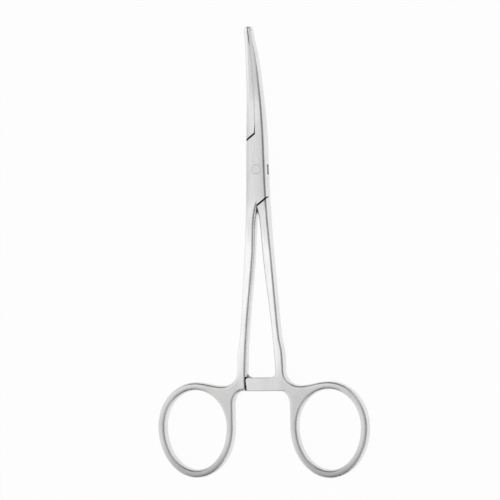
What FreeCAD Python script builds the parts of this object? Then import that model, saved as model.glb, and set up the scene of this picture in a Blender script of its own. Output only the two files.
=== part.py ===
import FreeCAD, Part
import math
import os
from FreeCAD import Vector

# Hemostat forceps lying on their back, in millimetres.
# The pivot axis is Z through the origin, and the flat back of the box lock is Z = 0.
# The jaws reach towards +Y and curve up, and the finger rings reach towards -Y.

# Box lock
box_thickness = 4.8
box_half_width_front = 3.05
box_half_width_pivot = 3.3
box_half_width_rear = 3.62
seam_reach = 11.25
seam_slope_deg = 37.0
seam_gap = 0.34
seam_relief_length = 2.8
parting_gap = 0.04
edge_radius = 1.05

# Tongue inside the box, and the rivet through both
tongue_thickness = 2.0
tongue_clearance = 0.03
hub_radius = 2.3
hub_clearance = 0.08
opening_deg = 50.0
stop_clearance_deg = 0.5
pin_radius = 1.1
pin_clearance = 0.03
pin_head_radius = 1.45
pin_head_depth = 0.5

# Jaws
jaw_reach = 43.7
jaw_tip_rise = 8.0
jaw_curve_ahead_of_seam = 0.95
jaw_tip_half_width = 1.35
jaw_tip_thickness = 2.3
jaw_taper_power = 0.85
serration_ahead_of_seam = 2.95
serration_pitch = 0.9
serration_depth = 0.34

# Shanks
shank_thickness = 3.8
shank_ramp_behind_seam = 2.35
shank_ramp_length = 12.0
shank_gap_behind_seam = 0.95
shank_gap_edge_radius = 0.35
shank_waist_reach = 40.6
shank_waist_outer = 5.62
shank_ankle_ahead_of_crotch = 8.8
shank_ankle_outer = 6.85
shank_width = 2.85
shank_throat_reach = 16.8
shank_throat_gap = 0.72
shank_neck_reach = 25.6
shank_neck_gap = 1.25
shank_gap_slope = 0.25

# Finger rings
ring_offset = 21.3
ring_behind_bar = 15.3
ring_hole_half_width = 9.85
ring_hole_front = 11.5
ring_hole_rear = 13.3
ring_limb = 2.5

# Crotch between each shank and its ring
crotch_radius = 4.6
crotch_ahead_of_bar = 2.1
crotch_outer = 7.6
crotch_width = 3.1

# Web between shank and ring, beside the ratchet bar
web_inner = 4.6
web_corner_radius = 1.3
web_fillet_length = 4.4

# Ratchet bars
bar_reach = 64.5
bar_width = 4.2
bar_overhang = 5.0
bar_gap = 0.06
bar_end_slant = 0.5
bar_corner_radius = 0.9
bar_edge_radius = 0.3
bar_front_fillet = 2.6
bar_root_depth = 1.3
bar_root_length = 3.4
bar_end_clearance = 0.22
tooth_pitch = 1.0
tooth_depth = 0.45
tooth_count = 5
tooth_land = 0.5

# Share of a blend's length over which it leaves each end straight
ease_share = 0.4

middle = box_thickness / 2
jaw_curve_start = seam_reach + jaw_curve_ahead_of_seam
serration_start = seam_reach + serration_ahead_of_seam
shank_gap_start = seam_reach + shank_gap_behind_seam
shank_ramp_start = seam_reach + shank_ramp_behind_seam
bar_rear_reach = bar_reach + bar_width
ring_reach = bar_reach + ring_behind_bar
crotch_reach = bar_reach - crotch_ahead_of_bar
shank_ankle_reach = crotch_reach - shank_ankle_ahead_of_crotch
far = ring_reach + ring_hole_rear + ring_limb + jaw_reach
tiny = 0.001


def plan(x, y):
    return Vector(x, y, 0)


def line(start, end):
    return Part.LineSegment(start, end).toShape()


def spline(points, first_tangent, last_tangent):
    curve = Part.BSplineCurve()
    curve.interpolate(Points=points, InitialTangent=first_tangent, FinalTangent=last_tangent)
    return curve.toShape()


def bezier(poles):
    curve = Part.BezierCurve()
    curve.setPoles(poles)
    return curve.toShape()


def corner_arc(centre, start, end):
    # A quarter circle about its centre, from one end to the other.
    radius = (start - centre).Length
    towards_corner = (start - centre) + (end - centre)
    towards_corner.normalize()
    return Part.Arc(start, centre + towards_corner * radius, end).toShape()


def quarter_ellipse(centre, start, end):
    # A quarter of an ellipse about its centre, from the end of one axis to the end of the other.
    long_end, short_end = start, end
    if (end - centre).Length > (start - centre).Length:
        long_end, short_end = end, start
    ellipse = Part.Ellipse(long_end, short_end, centre)
    arc = Part.ArcOfEllipse(ellipse, 0, math.pi / 2)
    return arc.toShape()


def slab(edges, bottom, top):
    # A plan outline raised into a slab between two heights.
    face = Part.Face(Part.Wire(Part.sortEdges(edges)[0]))
    face.translate(Vector(0, 0, bottom))
    return face.extrude(Vector(0, 0, top - bottom))


def polygon_slab(points, bottom, top):
    corners = [plan(x, y) for x, y in points]
    edges = [line(corners[i - 1], corners[i]) for i in range(len(corners))]
    return slab(edges, bottom, top)


def block(low_x, high_x, low_y, high_y, bottom, top):
    return Part.makeBox(high_x - low_x, high_y - low_y, top - bottom, Vector(low_x, low_y, bottom))


def turned_over(shape):
    # The same shape on the other half: half a turn about the long middle line.
    other = shape.copy()
    other.rotate(Vector(0, 0, middle), Vector(0, 1, 0), 180)
    return other


def mirrored(shape):
    # The same shape on the other side of the parting plane.
    return shape.mirror(Vector(0, 0, 0), Vector(1, 0, 0))


def turned_end_for_end(shape):
    other = shape.copy()
    other.rotate(Vector(0, 0, 0), Vector(0, 0, 1), 180)
    return other


def jaw_arc_radius():
    reach = jaw_reach - jaw_curve_start
    return (reach**2 + jaw_tip_rise**2) / (2 * jaw_tip_rise)


def jaw_length():
    arc = jaw_arc_radius() * math.asin((jaw_reach - jaw_curve_start) / jaw_arc_radius())
    return jaw_curve_start - seam_reach + arc


def jaw_frame(distance):
    # Point on the jaw's middle line, its direction and its upward normal, at a distance along it from the box.
    straight = jaw_curve_start - seam_reach
    if distance <= straight:
        return Vector(0, seam_reach + distance, middle), Vector(0, 1, 0), Vector(0, 0, 1)
    radius = jaw_arc_radius()
    angle = (distance - straight) / radius
    point = Vector(0, jaw_curve_start + radius * math.sin(angle), middle + radius * (1 - math.cos(angle)))
    along = Vector(0, math.cos(angle), math.sin(angle))
    upward = Vector(0, -math.sin(angle), math.cos(angle))
    return point, along, upward


def jaw_half_width(share):
    return jaw_tip_half_width + (box_half_width_front - jaw_tip_half_width) * (1 - share) ** jaw_taper_power


def jaw_point(share, side):
    # Point at a share of the jaw's length from the box: on its middle line, or on its upper or lower face.
    point, _, upward = jaw_frame(share * jaw_length())
    half = (jaw_tip_thickness + (box_thickness - jaw_tip_thickness) * (1 - share)) / 2
    return point + upward * (side * half)


def egg(clearance):
    # The ring's outline in the plan: two half ellipses of one width, the rear one longer.
    centre = plan(ring_offset, -ring_reach)
    front = centre + plan(0, ring_hole_front + clearance)
    rear = centre - plan(0, ring_hole_rear + clearance)
    side = plan(ring_hole_half_width + clearance, 0)
    return {
        "front": front,
        "inner_side": centre - side,
        "front_outer": quarter_ellipse(centre, front, centre + side),
        "rear_outer": quarter_ellipse(centre, rear, centre + side),
        "rear_inner": quarter_ellipse(centre, rear, centre - side),
        "front_inner": quarter_ellipse(centre, front, centre - side),
    }


def forging_outline():
    # Right-hand jaw, half of the box, the shank, the web and the outside of the ring, as one closed outline.
    ring = egg(ring_limb)
    gap_start = plan(0, -shank_gap_start)
    box_end = plan(0, seam_reach - seam_gap)
    face_start = plan(parting_gap / 2, seam_reach - seam_gap)
    face_end = plan(parting_gap / 2, serration_start)
    crest = parting_gap / 2 - serration_depth / 2
    crest_start = plan(crest, serration_start)
    nose_back = plan(jaw_tip_half_width, jaw_point(1, 0).y + jaw_tip_thickness)
    crest_end = plan(crest, nose_back.y)
    crotch_start = plan(crotch_outer, -crotch_reach)
    crotch_end = crotch_start + plan(crotch_radius, -crotch_radius)
    jaw_backs = [plan(jaw_half_width(share), jaw_point(share, 0).y) for share in (1, 0.7, 0.4, 0)]
    outer_edge = spline(
        [
            nose_back,
            *jaw_backs,
            plan(box_half_width_pivot, 0),
            plan(box_half_width_rear, -seam_reach),
            plan(shank_waist_outer, -shank_waist_reach),
            plan(shank_ankle_outer, -shank_ankle_reach),
            crotch_start,
        ],
        Vector(0, -1, 0),
        Vector(0, -1, 0),
    )
    crotch = corner_arc(crotch_start + plan(crotch_radius, 0), crotch_start, crotch_end)
    shoulder_pull = (ring["front"].x - crotch_end.x) * ease_share
    shoulder = bezier(
        [crotch_end, crotch_end + plan(shoulder_pull, 0), ring["front"] - plan(shoulder_pull, 0), ring["front"]]
    )
    web_fillet_side = plan(ring["inner_side"].x, -(bar_rear_reach + web_fillet_length))
    web_fillet_top = plan(web_inner + web_corner_radius, -bar_rear_reach)
    web_fillet = quarter_ellipse(plan(web_fillet_top.x, web_fillet_side.y), web_fillet_side, web_fillet_top)
    web_corner_end = web_fillet_top + plan(-web_corner_radius, web_corner_radius)
    web_corner = corner_arc(web_fillet_top + plan(0, web_corner_radius), web_fillet_top, web_corner_end)
    inner_edge = spline(
        [
            web_corner_end,
            plan(crotch_outer - crotch_width, -crotch_reach),
            plan(shank_ankle_outer - shank_width, -shank_ankle_reach),
            plan(shank_waist_outer - shank_width, -shank_waist_reach),
            plan(shank_neck_gap, -shank_neck_reach),
            plan(shank_throat_gap, -shank_throat_reach),
            gap_start,
        ],
        Vector(0, 1, 0),
        Vector(-shank_gap_slope, 1, 0),
    )
    return [
        outer_edge,
        crotch,
        shoulder,
        ring["front_outer"],
        ring["rear_outer"],
        ring["rear_inner"],
        line(ring["inner_side"], web_fillet_side),
        web_fillet,
        web_corner,
        inner_edge,
        line(gap_start, box_end),
        line(box_end, face_start),
        line(face_start, face_end),
        line(face_end, crest_start),
        line(crest_start, crest_end),
        line(crest_end, nose_back),
    ]


def thickness_envelope():
    # Side view of the forging: the curved jaw, the full thickness of the box, and an ease down to the shank.
    ramp_start = -shank_ramp_start
    ramp_end = ramp_start - shank_ramp_length
    ease = shank_ramp_length * ease_share
    edges = []
    for side in (1, -1):
        jaw = [jaw_point(share, side) for share in (0, 0.25, 0.5, 0.75, 1)]
        box_face = middle + side * box_thickness / 2
        shank_face = middle + side * shank_thickness / 2
        ramp = [
            Vector(0, ramp_start, box_face),
            Vector(0, ramp_start - ease, box_face),
            Vector(0, ramp_end + ease, shank_face),
            Vector(0, ramp_end, shank_face),
        ]
        tip_direction = jaw[-1] - jaw[-2]
        edges += [
            spline(jaw, Vector(0, 1, 0), tip_direction.normalize()),
            line(jaw[0], ramp[0]),
            bezier(ramp),
            line(ramp[-1], Vector(0, -far, shank_face)),
        ]
    edges.append(line(jaw_point(1, 1), jaw_point(1, -1)))
    edges.append(line(Vector(0, -far, middle + shank_thickness / 2), Vector(0, -far, middle - shank_thickness / 2)))
    face = Part.Face(Part.Wire(Part.sortEdges(edges)[0]))
    face.translate(Vector(-far, 0, 0))
    return face.extrude(Vector(2 * far, 0, 0))


def edge_radius_at(point):
    # Full rounding everywhere but along the narrow gap behind the box, where it eases to a small one.
    beside_gap = point.x <= 2 * shank_neck_gap and -shank_ramp_start - shank_ramp_length < point.y < -seam_reach
    if not beside_gap:
        return edge_radius
    share = min(1, (-shank_ramp_start - point.y) / shank_ramp_length)
    return shank_gap_edge_radius + (edge_radius - shank_gap_edge_radius) * max(0, share)


def rounded_off(shape):
    # Round every edge but the upright ones and those that bound the flat face between the halves.
    document = FreeCAD.newDocument("rounding")
    base = document.addObject("Part::Feature", "base")
    base.Shape = shape
    rounding = document.addObject("Part::Fillet", "rounding")
    rounding.Base = base
    radii = []
    for number, edge in enumerate(base.Shape.Edges, 1):
        bounds = edge.BoundBox
        upright = bounds.XLength < tiny and bounds.YLength < tiny
        across_a_smooth_joint = bounds.YLength < tiny and bounds.YMax < jaw_reach / 2
        on_middle_plane = bounds.XMax < parting_gap
        if not (upright or across_a_smooth_joint or on_middle_plane):
            start, end = edge.Vertexes[0].Point, edge.Vertexes[-1].Point
            radii.append((number, edge_radius_at(start), edge_radius_at(end)))
    rounding.Edges = radii
    document.recompute()
    rounded = rounding.Shape.Solids[0]
    FreeCAD.closeDocument(document.Name)
    return rounded


def make_forging():
    # Jaw, half of the box, shank and ring in one piece, on the right-hand side.
    hole = egg(0)
    hole_edges = [hole[name] for name in ("front_outer", "rear_outer", "rear_inner", "front_inner")]
    body = slab(forging_outline(), -box_thickness, far).common(thickness_envelope())
    body = body.cut(slab(hole_edges, 0, box_thickness)).Solids[0]
    return rounded_off(body)


def ahead_of_seam(offset):
    # Everything in front of the slanted seam on the left of the box, moved forward by an offset.
    seam_y = seam_reach + offset / math.cos(math.radians(seam_slope_deg))
    rise = far * math.tan(math.radians(seam_slope_deg))
    points = [(-far, seam_y - rise), (far, seam_y + rise), (far, 2 * far), (-far, 2 * far)]
    return polygon_slab(points, -box_thickness, far)


def make_seam_relief():
    # A narrow wedge cut along the parting face from the seam's inner corner, on the left.
    wedge = [(0, seam_reach - seam_gap), (-seam_gap, seam_reach - seam_gap), (0, seam_reach + seam_relief_length)]
    return polygon_slab(wedge, -box_thickness, 2 * box_thickness)


def bridge_sector(bottom, top):
    # Plan sector of the box that stays solid beside the tongue: right-hand side, in front of its stop face.
    stop = math.tan(math.radians((opening_deg + stop_clearance_deg) / 2))
    side = hub_clearance / 2
    reach = 2 * box_half_width_rear
    front = seam_reach + seam_gap
    return polygon_slab([(side, side * stop), (reach, reach * stop), (reach, front), (side, front)], bottom, top)


def disc(radius, bottom, top):
    return Part.makeCylinder(radius, top - bottom, Vector(0, 0, bottom))


def make_pin(clearance):
    # Rivet with a shallow cone at each face, grown by a clearance for a running hole.
    radius = pin_radius + clearance
    head = Part.makeCone(radius, pin_head_radius + clearance, pin_head_depth)
    front_head = head.copy()
    front_head.translate(Vector(0, 0, box_thickness - pin_head_depth))
    back_head = head.copy()
    back_head.rotate(Vector(0, 0, pin_head_depth / 2), Vector(1, 0, 0), 180)
    return disc(radius, 0, box_thickness).fuse([front_head, back_head]).removeSplitter().Solids[0]


def serration_grooves(shift):
    # V grooves across the jaw's face, square to its middle line, moved along by a share of the pitch.
    first = serration_start - seam_reach
    count = int((jaw_length() - first) / serration_pitch) + 1
    crest = parting_gap / 2 - serration_depth / 2
    half_pitch = serration_pitch / 2
    grooves = []
    for index in range(-1, count):
        point, along, upward = jaw_frame(first + (index + shift) * serration_pitch)
        mouth = point + Vector(crest, 0, 0) - upward * box_thickness
        corners = [
            mouth - along * half_pitch,
            mouth + Vector(serration_depth, 0, 0),
            mouth + along * half_pitch,
            mouth - Vector(serration_depth, 0, 0),
        ]
        groove = Part.Face(Part.makePolygon(corners + corners[:1]))
        grooves.append(groove.extrude(upward * (2 * box_thickness)))
    return grooves


def make_bar():
    # Front ratchet bar on the right-hand shank, with saw teeth on its underside.
    front = -bar_reach
    rear = -bar_rear_reach
    root = web_inner + bar_root_depth
    tip_front = plan(-bar_overhang, front)
    tip_rear = plan(-bar_overhang + bar_end_slant, rear)
    root_front = plan(root - bar_front_fillet, front)
    shank_touch = plan(root, front + bar_front_fillet)
    root_rear = plan(web_inner + bar_root_length, rear)
    edges = [
        line(tip_front, root_front),
        corner_arc(root_front + plan(0, bar_front_fillet), root_front, shank_touch),
        line(shank_touch, root_rear),
        line(root_rear, tip_rear),
        line(tip_rear, tip_front),
    ]
    underside = middle + bar_gap / 2
    top = middle + shank_thickness / 2
    bar = slab(edges, underside, top)
    corners = []
    for edge in bar.Edges:
        bounds = edge.BoundBox
        upright = bounds.XLength < tiny and bounds.YLength < tiny
        if upright and bounds.XMax < bar_end_slant - bar_overhang + tiny:
            corners.append(edge)
    bar = bar.makeFillet(bar_corner_radius, corners)
    bar = bar.makeFillet(bar_edge_radius, [edge for edge in bar.Edges if edge.BoundBox.ZMin > top - tiny])
    teeth = []
    for index in range(tooth_count):
        steep = Vector(tooth_land - bar_overhang + index * tooth_pitch, rear - tiny, underside)
        corners = [steep, steep + Vector(0, 0, tooth_depth), steep + Vector(tooth_pitch, 0, 0)]
        tooth_space = Part.Face(Part.makePolygon(corners + corners[:1]))
        teeth.append(tooth_space.extrude(Vector(0, bar_width + 2 * tiny, 0)))
    return bar.cut(teeth).Solids[0]


def make_lap_notch():
    # Room for the front bar's end, in the rear half's shank.
    end = -(bar_overhang + bar_end_clearance)
    front = -bar_reach + bar_end_clearance
    rear = -bar_rear_reach - bar_end_clearance
    return block(end, 0, rear, front, middle - bar_gap / 2, box_thickness)


def make_box_half(right_forging, pin):
    # Right jaw, slotted box, left shank and ring, rear ratchet bar.
    slot_bottom = middle - tongue_thickness / 2 - tongue_clearance
    slot_top = middle + tongue_thickness / 2 + tongue_clearance
    bridge = bridge_sector(slot_bottom, slot_top)
    slot = block(-far, far, -seam_reach - seam_gap, seam_reach + seam_gap, slot_bottom, slot_top)
    slot = slot.cut([bridge, turned_end_for_end(bridge)])
    slot = slot.fuse(disc(hub_radius + hub_clearance, slot_bottom, slot_top))
    front_room = ahead_of_seam(-seam_gap / 2)
    left = mirrored(right_forging).cut([front_room, make_lap_notch()])
    right = right_forging.cut([turned_end_for_end(front_room)] + serration_grooves(0))
    body = left.fuse(right).cut([slot, pin])
    return body.fuse(turned_over(make_bar())).removeSplitter()


def make_tongue_half(right_forging):
    # Left jaw, tongue, right shank and ring, front ratchet bar.
    bottom = middle - tongue_thickness / 2
    top = middle + tongue_thickness / 2
    arm = turned_over(bridge_sector(bottom, top))
    front_part = ahead_of_seam(seam_gap / 2)
    rear_part = turned_end_for_end(front_part)
    left_forging = mirrored(right_forging)
    rear_arm = turned_end_for_end(arm)
    tongue = left_forging.common(arm).fuse([right_forging.common(rear_arm), disc(hub_radius, bottom, top)])
    grooves = [mirrored(groove) for groove in serration_grooves(0.5)]
    front = left_forging.common(front_part).cut([make_seam_relief()] + grooves)
    parting = block(-parting_gap, parting_gap / 2, -shank_gap_start - seam_gap, -seam_reach, 0, box_thickness)
    rear = right_forging.common(rear_part).cut([turned_over(make_lap_notch()), parting])
    body = tongue.fuse([front, rear]).cut(make_pin(pin_clearance))
    return body.fuse(make_bar()).removeSplitter()


forging = make_forging()
pivot_pin = make_pin(0)
pieces = {
    "box_half": make_box_half(forging, pivot_pin),
    "tongue_half": make_tongue_half(forging),
    "pivot_pin": pivot_pin,
}

os.makedirs("parts", exist_ok=True)
for name, shape in pieces.items():
    print(name, len(shape.Solids), "solid,", len(shape.Faces), "faces,", round(shape.Volume, 1), "mm3", shape.isValid())
    shape.exportStep("parts/" + name + ".step")
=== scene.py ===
import math

import bmesh
import bpy
from mathutils import Matrix, Vector


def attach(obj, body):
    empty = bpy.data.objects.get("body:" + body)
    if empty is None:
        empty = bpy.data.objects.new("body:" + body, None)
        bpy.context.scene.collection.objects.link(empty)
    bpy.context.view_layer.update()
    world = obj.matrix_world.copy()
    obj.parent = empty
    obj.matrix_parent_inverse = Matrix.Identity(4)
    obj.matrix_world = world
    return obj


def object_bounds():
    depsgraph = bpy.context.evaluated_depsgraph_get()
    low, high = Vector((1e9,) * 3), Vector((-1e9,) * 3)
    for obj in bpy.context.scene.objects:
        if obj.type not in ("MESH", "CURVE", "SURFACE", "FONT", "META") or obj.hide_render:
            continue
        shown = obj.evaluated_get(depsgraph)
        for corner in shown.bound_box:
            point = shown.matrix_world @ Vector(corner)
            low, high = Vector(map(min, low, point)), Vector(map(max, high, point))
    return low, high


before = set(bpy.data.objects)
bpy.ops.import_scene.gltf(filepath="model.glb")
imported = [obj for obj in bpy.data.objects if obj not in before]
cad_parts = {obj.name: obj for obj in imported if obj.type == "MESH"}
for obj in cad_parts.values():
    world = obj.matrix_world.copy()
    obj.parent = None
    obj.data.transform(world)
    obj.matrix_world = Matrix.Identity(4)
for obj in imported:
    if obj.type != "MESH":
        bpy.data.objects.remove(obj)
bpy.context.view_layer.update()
print("frame loaded:", ", ".join(sorted(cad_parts)))

mm = 0.001
black = (0.0, 0.0, 0.0, 1.0)
white = (1.0, 1.0, 1.0, 1.0)


# Shader building: values from sockets are added, multiplied and so on as plain numbers are.
class Wire:
    def __init__(self, board, socket):
        self.board = board
        self.socket = socket

    def math(self, operation, *others):
        values = dict(enumerate((self,) + others))
        return self.board.node("ShaderNodeMath", {"operation": operation}, values).out()

    def __add__(self, other):
        return self.math("ADD", other)

    __radd__ = __add__

    def __mul__(self, other):
        return self.math("MULTIPLY", other)

    __rmul__ = __mul__

    def __sub__(self, other):
        return self.math("SUBTRACT", other)

    def __rsub__(self, other):
        return (self * -1) + other

    def __truediv__(self, other):
        return self.math("DIVIDE", other)

    def __pow__(self, other):
        return self.math("POWER", other)

    def __abs__(self):
        return self.math("ABSOLUTE")


class Node:
    def __init__(self, board, node):
        self.board = board
        self.node = node

    def out(self, name=0):
        return Wire(self.board, self.node.outputs[name])


class Board:
    def __init__(self, tree):
        self.tree = tree
        tree.nodes.clear()

    def node(self, kind, settings=None, inputs=None):
        node = self.tree.nodes.new(kind)
        for name, setting in (settings or {}).items():
            if name == "stops":  # of a colour ramp, each a place and a grey
                ramp = node.color_ramp.elements
                while len(ramp) < len(setting):
                    ramp.new(1.0)
                for element, (place, tone) in zip(ramp, setting):
                    element.position = place
                    element.color = (tone, tone, tone, 1.0)
            else:
                setattr(node, name, setting)
        for name, value in (inputs or {}).items():
            self.feed(node.inputs[name], value)
        return Node(self, node)

    def feed(self, socket, value):
        if isinstance(value, Wire):
            self.tree.links.new(value.socket, socket)
        else:
            socket.default_value = value

    def vector(self, x, y, z):
        return self.node("ShaderNodeCombineXYZ", inputs={0: x, 1: y, 2: z}).out()

    def split(self, vector):
        parts = self.node("ShaderNodeSeparateXYZ", inputs={0: vector})
        return parts.out("X"), parts.out("Y"), parts.out("Z")

    def place(self):
        # x, y and z on the piece itself, so that its finish moves with it
        return self.split(self.node("ShaderNodeTexCoord").out("Object"))

    def noise(self, place, perMetre, detail=3.0, roughness=0.55):
        vector = self.vector(*(axis * count for axis, count in zip(place, perMetre)))
        values = {"Vector": vector, "Scale": 1.0, "Detail": detail, "Roughness": roughness}
        return self.node("ShaderNodeTexNoise", {"noise_dimensions": "3D"}, values).out("Fac")

    def ease(self, value, start, end):
        # 0 below start, 1 above end, smooth between
        settings = {"interpolation_type": "SMOOTHSTEP"}
        values = {"Value": value, "From Min": start, "From Max": end, "To Min": 0.0, "To Max": 1.0}
        return self.node("ShaderNodeMapRange", settings, values).out()

    def between(self, factor, first, second):
        # first at factor 0, second at factor 1
        return first + (second - first) * factor

    def mixColor(self, factor, first, second):
        # a Mix node has its sockets once for each kind of value, and only those for colours are enabled
        mix = self.node("ShaderNodeMix", {"data_type": "RGBA"}).node
        sockets = {socket.name: socket for socket in mix.inputs if socket.enabled}
        for name, value in {"Factor": factor, "A": first, "B": second}.items():
            self.feed(sockets[name], value)
        return Wire(self, next(socket for socket in mix.outputs if socket.enabled))

    def bump(self, height, distance, strength, normal):
        values = {"Strength": strength, "Distance": distance, "Height": height, "Normal": normal}
        return self.node("ShaderNodeBump", inputs=values).out()

    def steel(self, tone, roughness, normal):
        values = {"Base Color": tone, "Metallic": 1.0, "Roughness": roughness, "Normal": normal}
        self.finish(self.node("ShaderNodeBsdfPrincipled", inputs=values).out())

    def finish(self, shader, target="ShaderNodeOutputMaterial"):
        self.node(target, inputs={"Surface": shader})


def newMaterial(name):
    material = bpy.data.materials.new(name)
    material.use_nodes = True
    return material, Board(material.node_tree)


# Edges of halves and rivet: slightly rounded by polishing.
edge = {"radius": 0.16 * mm, "wear": (0.02, 0.35), "samples": 6}


def wearOfEdges(board):
    # 1 along sharp edges, 0 on open faces
    face = board.node("ShaderNodeNewGeometry").out("Normal")
    soft = board.node("ShaderNodeBevel", {"samples": edge["samples"]}, {"Radius": edge["radius"]}).out()
    product = board.node("ShaderNodeVectorMath", {"operation": "DOT_PRODUCT"}, {0: face, 1: soft})
    return board.ease(1 - product.out("Value"), *edge["wear"]), soft


# Satin steel of the two halves: ground lengthwise, but round each ring and across the ratchet bars.
satin = {
    "tone": (0.95, 0.95, 0.945, 1.0),
    "dullTone": (0.8, 0.8, 0.795, 1.0),
    "roughness": 0.27,
    "roughnessSpread": 0.12,
    "ringRoughness": 0.1,  # added on the rings
    "edgePolish": 0.08,  # taken off along the edges
    # grain of the grinding, with wider clouds and fine specks
    "grainWidth": 0.09 * mm,
    "grainLength": 4.0 * mm,
    "grainDepth": 0.006 * mm,
    "grainZone": (0.36, 0.72),
    "grainShare": 0.55,
    "bumpStrength": 0.5,
    "cloudsPerMetre": (260, 90, 260),
    "cloudDetail": 2.0,
    "cloudZone": (0.35, 0.7),
    "cloudShare": 0.3,
    "cloudRoughness": 0.06,
    "specksPerMetre": (5200, 5200, 5200),
    "speckDetail": 1.0,
    "speckShare": 0.2,
    # rings and ratchet bars, where the grain changes its direction
    "ringCentre": (21.3 * mm, -79.8 * mm),
    "ringRadius": 10.65 * mm,
    "ringZone": (62.0 * mm, 72.0 * mm),  # how far behind the rivet their grain sets in
    "barEdges": (-64.4 * mm, -68.8 * mm),  # front and rear
    "barEnds": (5.2 * mm, 7.5 * mm),  # how far from the middle line their grain fades
    # painted shade: brightness of the flats from rings to tips, place in mm, and of bars and sides
    "paintedShades": [
        (-95, 0.52), (-90, 0.62), (-84, 0.75), (-67, 0.76), (-60, 0.97), (-22, 1.0),
        (-14, 0.82), (-8, 0.7), (10, 0.69), (20, 0.84), (38, 1.0),
    ],
    "ends": (-96.0 * mm, 46.0 * mm),
    "barShade": (0.84, 0.84, 0.84, 1.0),
    "sideShade": (0.9, 0.9, 0.9, 1.0),
    "flatZone": (0.55, 0.96),
    # shadow in the slanted seams of the box, between the jaw tips and in hollow corners
    "paintedShadowTone": (0.03, 0.03, 0.03, 1.0),
    "creaseReach": 0.8 * mm,
    "creaseZone": (0.3, 0.9),
    "creaseSamples": 6,
    "seamReach": 11.25 * mm,  # from the rivet to a seam, on the middle line
    "seamSlope": 37.0,  # degrees
    "seamShadow": (0.2 * mm, 0.4 * mm),
    "seamEnd": 0.1 * mm,
    "tipShadow": (0.02 * mm, 0.2 * mm),
    "tipZone": (37.5 * mm, 39.5 * mm),
    # crown that polishing leaves across box and jaws
    "crownSlope": 0.15,
    "crownZone": (-16.0 * mm, -9.0 * mm),
    "boxHalfWidth": 3.3 * mm,
    "jawStart": 12.0 * mm,
    "jawTaper": 0.058,
}


def satinGrain(board, x, y, z):
    fine = 1 / satin["grainWidth"]
    long = 1 / satin["grainLength"]
    lengthwise = board.noise((x, y, z), (fine, long, fine))
    crosswise = board.noise((x, y, z), (long, fine, fine))

    centreX, centreY = satin["ringCentre"]
    sideways = abs(x) - centreX
    backwards = y - centreY
    reach = (sideways * sideways + backwards * backwards) ** 0.5
    turn = backwards.math("ARCTAN2", sideways)
    around = board.noise((reach, turn, z), (fine, satin["ringRadius"] * long, fine))

    ringShare = board.ease(y * -1, *satin["ringZone"])
    front, rear = satin["barEdges"]
    barShare = y.math("LESS_THAN", front) * y.math("GREATER_THAN", rear)
    barShare = barShare * (1 - board.ease(abs(x), *satin["barEnds"]))
    grain = board.between(ringShare, lengthwise, around)
    return board.between(barShare, grain, crosswise), ringShare, barShare


def satinPaintedShade(board, tone, x, y, barShare):
    # painted shade: flats are darker than sides, by an amount that changes along the instrument
    rearEnd, frontEnd = satin["ends"]
    length = frontEnd - rearEnd
    stops = [((spot * mm - rearEnd) / length, grey) for spot, grey in satin["paintedShades"]]
    share = (y - rearEnd) / length
    along = board.node("ShaderNodeValToRGB", {"stops": stops}, {"Fac": share}).out("Color")
    upright = board.split(board.node("ShaderNodeNewGeometry").out("Normal"))[2]
    flat = board.ease(abs(upright), *satin["flatZone"])
    shade = board.mixColor(barShare, along, satin["barShade"])
    shade = board.mixColor(flat, satin["sideShade"], shade)
    tone = board.mixColor(shade, black, tone)

    # painted shadow: flats go black beside each slanted seam of the box and between the jaw tips
    slope = math.radians(satin["seamSlope"])
    fromSeam = abs(y + x.math("SIGN") * satin["seamReach"] - x * math.tan(slope)) * math.cos(slope)
    seamPaintedShadow = 1 - board.ease(fromSeam, *satin["seamShadow"])
    seamPaintedShadow = board.ease(abs(x), 0.0, satin["seamEnd"]) * seamPaintedShadow
    tipPaintedShadow = 1 - board.ease(abs(x), *satin["tipShadow"])
    tipPaintedShadow = board.ease(y, *satin["tipZone"]) * tipPaintedShadow
    for shadow in (seamPaintedShadow, tipPaintedShadow):
        tone = board.mixColor(shadow * flat, tone, satin["paintedShadowTone"])

    # painted shade: hollow corners, found by ambient occlusion, go black
    settings = {"samples": satin["creaseSamples"]}
    openness = board.node("ShaderNodeAmbientOcclusion", settings, {"Distance": satin["creaseReach"]})
    openness = board.ease(openness.out("AO"), *satin["creaseZone"])
    return board.mixColor(openness, satin["paintedShadowTone"], tone)


def satinCrown(board, x, y):
    halfWidth = (y - satin["jawStart"]).math("MAXIMUM", 0.0) * -satin["jawTaper"] + satin["boxHalfWidth"]
    return x * x / halfWidth * (-satin["crownSlope"] / 2) * board.ease(y, *satin["crownZone"])


def makeSatinSteel():
    material, board = newMaterial("satinSteel")
    x, y, z = board.place()
    grain, ringShare, barShare = satinGrain(board, x, y, z)
    cloud = board.noise((x, y, z), satin["cloudsPerMetre"], satin["cloudDetail"])
    speck = board.noise((x, y, z), satin["specksPerMetre"], satin["speckDetail"])
    wear, softNormal = wearOfEdges(board)

    dull = board.ease(grain, *satin["grainZone"]) * satin["grainShare"]
    dull = dull + board.ease(cloud, *satin["cloudZone"]) * satin["cloudShare"]
    tone = board.mixColor(dull * (1 - wear), satin["tone"], satin["dullTone"])
    # painted shade and painted shadow over the steel's own tone
    tone = satinPaintedShade(board, tone, x, y, barShare)

    roughness = (grain - 0.5) * satin["roughnessSpread"] + (cloud - 0.5) * satin["cloudRoughness"]
    roughness = roughness + satin["roughness"]
    roughness = roughness + ringShare * satin["ringRoughness"] - wear * satin["edgePolish"]
    height = grain * (1 - satin["speckShare"]) + speck * satin["speckShare"]
    relief = board.bump(height, satin["grainDepth"], satin["bumpStrength"], softNormal)
    relief = board.bump(satinCrown(board, x, y), 1.0, 1.0, relief)
    board.steel(tone, roughness, relief)
    return material


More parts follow.
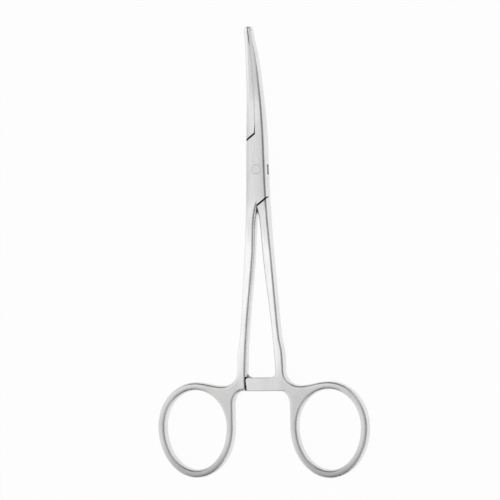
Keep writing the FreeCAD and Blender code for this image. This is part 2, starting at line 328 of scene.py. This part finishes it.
# Rivet: the same steel, faced off in a lathe and ground flush.
rivet = {
    "tone": (0.67, 0.67, 0.665, 1.0),
    "dullTone": (0.57, 0.57, 0.565, 1.0),
    "dullZone": (0.3, 0.8),
    "roughness": 0.28,
    "roughnessSpread": 0.14,
    "groovePitch": 0.11 * mm,
    "grooveDepth": 0.004 * mm,
    "grooveShare": 0.35,  # lathe grooves against grinding
    "wobblesPerMetre": (900, 900, 900),
    "wobbleDetail": 2.0,
    "wobble": 5.0,  # radians
    "bumpStrength": 0.5,
}


def makeRivetSteel():
    material, board = newMaterial("rivetSteel")
    x, y, z = board.place()
    reach = (x * x + y * y) ** 0.5
    wobble = board.noise((x, y, z), rivet["wobblesPerMetre"], rivet["wobbleDetail"])
    turn = reach * (2 * math.pi / rivet["groovePitch"]) + wobble * rivet["wobble"]
    grooves = turn.math("SINE") * 0.5 + 0.5
    fine = 1 / satin["grainWidth"]
    grinding = board.noise((x, y, z), (fine, 1 / satin["grainLength"], fine))
    grain = grooves * rivet["grooveShare"] + grinding * (1 - rivet["grooveShare"])
    wear, softNormal = wearOfEdges(board)
    dull = board.ease(grain, *rivet["dullZone"]) * (1 - wear)
    tone = board.mixColor(dull, rivet["tone"], rivet["dullTone"])
    roughness = (grain - 0.5) * rivet["roughnessSpread"] + rivet["roughness"]
    relief = board.bump(grain, rivet["grooveDepth"], rivet["bumpStrength"], softNormal)
    board.steel(tone, roughness, relief)
    return material


satinSteel = makeSatinSteel()
finishes = {"box_half": satinSteel, "tongue_half": satinSteel, "pivot_pin": makeRivetSteel()}
for name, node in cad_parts.items():
    for slot in node.material_slots:
        slot.material = finishes[name]
print("finishes on", len(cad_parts), "nodes")

# Root of each ratchet bar: the hollow corner where its front edge runs into the shank.
barRoot = {
    "radius": 1.9 * mm,
    "corner": (4.65 * mm, -64.5 * mm),
    "inside": (1.3 * mm, 0.5 * mm),  # how far it reaches into shank and bar
    "heights": (2.5 * mm, 4.28 * mm),
    "shankRounding": 1.05 * mm,
    "barRounding": 0.3 * mm,
    "middle": 2.4 * mm,  # height about which the rear one is turned over
    "steps": 14,
    "levels": 8,
}


def makeBarRoot(name, body, turnedOver):
    low, high = barRoot["heights"]
    radius = barRoot["radius"]
    steps = barRoot["steps"]
    cornerX, cornerY = barRoot["corner"]
    deepX, deepY = barRoot["inside"]
    levels = [(low, 0.0)]
    for level in range(barRoot["levels"] + 1):  # follows the rounded edges of shank and bar
        angle = math.pi / 2 * level / barRoot["levels"]
        levels.append((high - barRoot["shankRounding"] * (1 - math.sin(angle)), 1 - math.cos(angle)))
    side = -1 if turnedOver else 1
    mesh = bmesh.new()
    loops = []
    for height, share in levels:
        centreX = cornerX - radius + share * barRoot["shankRounding"]
        centreY = cornerY + radius - share * barRoot["barRounding"]
        plan = []
        for step in range(steps + 1):
            angle = -math.pi / 2 * (1 - step / steps)
            plan.append((centreX + radius * math.cos(angle), centreY + radius * math.sin(angle)))
        plan.append((cornerX + deepX, centreY))  # and back through shank and bar
        plan.append((cornerX + deepX, cornerY - deepY))
        plan.append((centreX, cornerY - deepY))
        z = 2 * barRoot["middle"] - height if turnedOver else height
        loops.append([mesh.verts.new((side * x, y, z)) for x, y in plan])
    for lower, upper in zip(loops, loops[1:]):
        for index in range(len(lower)):
            after = (index + 1) % len(lower)
            mesh.faces.new((lower[index], lower[after], upper[after], upper[index]))
    mesh.faces.new(loops[0])
    mesh.faces.new(loops[-1])
    bmesh.ops.recalc_face_normals(mesh, faces=mesh.faces)
    ends = [face for face in mesh.faces if len(face.verts) > 4]
    bmesh.ops.triangulate(mesh, faces=ends)
    data = bpy.data.meshes.new(name)
    mesh.to_mesh(data)
    mesh.free()
    data.materials.append(satinSteel)
    root = bpy.data.objects.new(name, data)
    bpy.context.collection.objects.link(root)
    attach(root, body)


makeBarRoot("front_bar_root", "tongue_side", False)
makeBarRoot("rear_bar_root", "box_side", True)
print("bar roots made")


# White table that keeps a faint shadow under the instrument.
table = {
    "size": 4.0,
    "gap": 0.03 * mm,
    "tone": (0.9, 0.9, 0.9, 1.0),
    "glow": 1.0,
    "cameraShare": 0.96,  # glow against shaded white, as the camera sees it
    "glossShare": 0.92,  # and as the steel reflects it
}


def makeTable():
    half = table["size"] / 2
    corners = [(-half, -half, 0), (half, -half, 0), (half, half, 0), (-half, half, 0)]
    mesh = bpy.data.meshes.new("table")
    mesh.from_pydata(corners, [], [(0, 1, 2, 3)])
    top = bpy.data.objects.new("table", mesh)
    top.location.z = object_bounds()[0][2] - table["gap"]
    bpy.context.collection.objects.link(top)
    material, board = newMaterial("tableWhite")
    matt = board.node("ShaderNodeBsdfDiffuse", inputs={"Color": table["tone"]}).out()
    glow = board.node("ShaderNodeEmission", inputs={"Color": white, "Strength": table["glow"]}).out()
    rays = board.node("ShaderNodeLightPath")
    share = rays.out("Is Camera Ray") * table["cameraShare"]
    share = share + rays.out("Is Glossy Ray") * table["glossShare"]
    board.finish(board.node("ShaderNodeMixShader", inputs={0: share, 1: matt, 2: glow}).out())
    mesh.materials.append(material)


makeTable()
print("table set")

# Studio: white all round for the camera, softer and partly dark for what the steel reflects.
studio = {
    "overhead": 0.68,
    "around": 1.03,
    "sideZone": (0.25, 0.6),  # from overhead to around, to the left
    "lowZone": (0.45, 0.8),  # and towards the ground
    "rightDark": 0.34,
    "rightAim": (0.62, 0.78),  # x and z of the dark patch above the right-hand side
    "rightZone": (0.83, 0.99),
    "endDark": 0.05,
    "endZone": (0.7, 0.88),  # dark beyond tips and rings
    "lampGlow": 0.45,  # brightness of the lamp's face
    "lampSize": (0.5, 0.62),
    "lampPlace": (-0.24, 0.2, 0.9),
}


def makeStudio():
    world = bpy.data.worlds.new("studio")
    world.use_nodes = True
    bpy.context.scene.world = world
    board = Board(world.node_tree)
    x, y, z = board.split(board.node("ShaderNodeTexCoord").out("Generated"))
    aimX, aimZ = studio["rightAim"]
    right = board.ease(x * aimX + z * aimZ, *studio["rightZone"])
    ends = board.ease(abs(y), *studio["endZone"])
    low = board.ease(1 - z, *studio["lowZone"])
    sides = board.ease(x * -1, *studio["sideZone"]).math("MAXIMUM", low)
    light = board.between(sides, studio["overhead"], studio["around"])
    light = light * (1 - ends * (1 - studio["endDark"])) * (1 - right * (1 - studio["rightDark"]))
    seen = board.node("ShaderNodeLightPath").out("Is Camera Ray")
    values = {"Color": white, "Strength": board.between(seen, light, 1.0)}
    board.finish(board.node("ShaderNodeBackground", inputs=values).out(), "ShaderNodeOutputWorld")
    lamp = bpy.data.lights.new("softbox", "AREA")
    lamp.shape = "RECTANGLE"
    lamp.size, lamp.size_y = studio["lampSize"]
    lamp.energy = studio["lampGlow"] * math.pi * lamp.size * lamp.size_y
    box = bpy.data.objects.new("softbox", lamp)
    box.location = studio["lampPlace"]
    bpy.context.collection.objects.link(box)


makeStudio()
print("studio set")

# Camera: from above, leaning to the right-hand side, with a long lens.
view = {
    "lean": 14.86,  # degrees
    "turn": 1.20,
    "pitch": -0.99,
    "distance": 663.1 * mm,
    "pixelsPerMm": 3.2204,
    "picture": 500,  # pixels across
    "sensor": 36.0,
    "clip": (0.01, 10.0),
    "aim": (0.0, -25.0 * mm, 2.4 * mm),
    "offset": (-2.89 * mm, 0.04 * mm),
}


def makeCamera():
    lean, turn, pitch = (math.radians(view[name]) for name in ("lean", "turn", "pitch"))
    right = Vector((math.cos(lean), 0, -math.sin(lean)))
    back = Vector((math.sin(lean), 0, math.cos(lean)))
    up = Vector((0, 1, 0)) * math.cos(pitch) - back * math.sin(pitch)
    back = back * math.cos(pitch) + Vector((0, 1, 0)) * math.sin(pitch)
    turnedRight = right * math.cos(turn) - up * math.sin(turn)
    turnedUp = up * math.cos(turn) + right * math.sin(turn)
    target = Vector(view["aim"]) + turnedRight * view["offset"][0] + turnedUp * view["offset"][1]
    data = bpy.data.cameras.new("camera")
    data.sensor_width = view["sensor"]
    data.lens = view["sensor"] * view["pixelsPerMm"] * view["distance"] / mm / view["picture"]
    data.clip_start, data.clip_end = view["clip"]
    camera = bpy.data.objects.new("camera", data)
    axes = Matrix((turnedRight, turnedUp, back)).transposed().to_4x4()
    camera.matrix_world = Matrix.Translation(target + back * view["distance"]) @ axes
    bpy.context.collection.objects.link(camera)
    bpy.context.scene.camera = camera


makeCamera()
bpy.context.scene.view_settings.view_transform = "Standard"
print("camera set")
